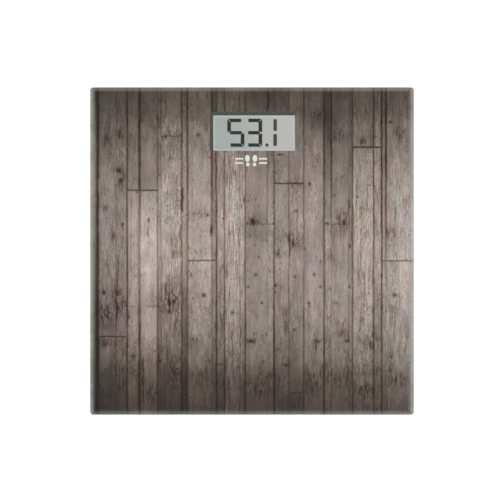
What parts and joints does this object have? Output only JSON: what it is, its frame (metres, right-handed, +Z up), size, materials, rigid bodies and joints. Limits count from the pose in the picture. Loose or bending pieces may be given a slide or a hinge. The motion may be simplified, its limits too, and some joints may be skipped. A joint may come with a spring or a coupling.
{
  "type": "digital bathroom scale",
  "caption": "Flat square glass bathroom scale with a weathered-board decor, a liquid crystal display near one edge, and weighing feet under its corners.",
  "frame": {"origin": "on the floor, under the middle of the platform", "axes": "+Z up out of the platform's top, +Y towards the display end, +X to the right of a user who reads the display"},
  "size_m": [0.3, 0.3034, 0.024],
  "materials": {
    "glass": "polished toughened glass",
    "decor_print": "printed weathered-board film",
    "bezel_plastic": "dark moulded plastic",
    "white_plastic": "light grey moulded plastic",
    "cap_plastic": "light grey moulded plastic",
    "foam": "black adhesive foam",
    "lcd": "reflective liquid crystal cell",
    "elastomer": "banded elastomer strip",
    "board": "green solder mask",
    "epoxy": "black epoxy",
    "button_plastic": "dark grey moulded plastic",
    "steel": "stamped steel",
    "nickel": "nickel plated steel",
    "spring_brass": "plated spring strip",
    "silicone": "white silicone",
    "rubber": "black rubber",
    "lead_jacket": "black jacket",
    "clip_plastic": "white moulded plastic"
  },
  "bodies": {
    "platform": {"glass_platform": "glass", "decor_film": "decor_print", "display_frame": "bezel_plastic", "display_bond": "foam", "housing_cover": "white_plastic", "lcd_panel": "lcd", "zebra_strip": "elastomer", "circuit_board": "board", "chip_blob": "epoxy", "unit_switch": "steel", "coin_cell": "nickel", "battery_contact_minus": "spring_brass", "battery_contact_plus": "spring_brass", "cover_screw_1": "steel", "cover_screw_2": "steel", "cover_screw_3": "steel", "cover_screw_4": "steel", "foot_housing_rear_left": "white_plastic", "foot_bond_rear_left": "foam", "load_cell_rear_left": "steel", "strain_gauge_rear_left": "silicone", "lead_rear_left": "lead_jacket", "lead_clip_rear_left": "clip_plastic", "foot_housing_rear_right": "white_plastic", "foot_bond_rear_right": "foam", "load_cell_rear_right": "steel", "strain_gauge_rear_right": "silicone", "lead_rear_right": "lead_jacket", "lead_clip_rear_right": "clip_plastic", "foot_housing_front_left": "white_plastic", "foot_bond_front_left": "foam", "load_cell_front_left": "steel", "strain_gauge_front_left": "silicone", "lead_front_left": "lead_jacket", "lead_clip_front_left": "clip_plastic", "foot_housing_front_right": "white_plastic", "foot_bond_front_right": "foam", "load_cell_front_right": "steel", "strain_gauge_front_right": "silicone", "lead_front_right": "lead_jacket", "lead_clip_front_right": "clip_plastic"},
    "battery_door": {"battery_door": "white_plastic"},
    "unit_button": {"unit_button": "button_plastic"},
    "foot_rear_left": {"foot_cap_rear_left": "cap_plastic", "foot_pad_rear_left": "rubber"},
    "foot_rear_right": {"foot_cap_rear_right": "cap_plastic", "foot_pad_rear_right": "rubber"},
    "foot_front_left": {"foot_cap_front_left": "cap_plastic", "foot_pad_front_left": "rubber"},
    "foot_front_right": {"foot_cap_front_right": "cap_plastic", "foot_pad_front_right": "rubber"}
  },
  "joints": [
    {"name": "battery_door_slide", "type": "slide", "parent": "platform", "child": "battery_door", "axis": [0, -1, 0], "range_m": [0, 0.024]},
    {"name": "unit_button_press", "type": "slide", "parent": "platform", "child": "unit_button", "axis": [0, 0, 1], "range_m": [0, 0.0005], "stiffness_N_per_m": 3000},
    {"name": "foot_rear_left_press", "type": "slide", "parent": "platform", "child": "foot_rear_left", "axis": [0, 0, 1], "range_m": [0, 0.0006], "stiffness_N_per_m": 40000},
    {"name": "foot_rear_right_press", "type": "slide", "parent": "platform", "child": "foot_rear_right", "axis": [0, 0, 1], "range_m": [0, 0.0006], "stiffness_N_per_m": 40000},
    {"name": "foot_front_left_press", "type": "slide", "parent": "platform", "child": "foot_front_left", "axis": [0, 0, 1], "range_m": [0, 0.0006], "stiffness_N_per_m": 40000},
    {"name": "foot_front_right_press", "type": "slide", "parent": "platform", "child": "foot_front_right", "axis": [0, 0, 1], "range_m": [0, 0.0006], "stiffness_N_per_m": 40000}
  ]
}
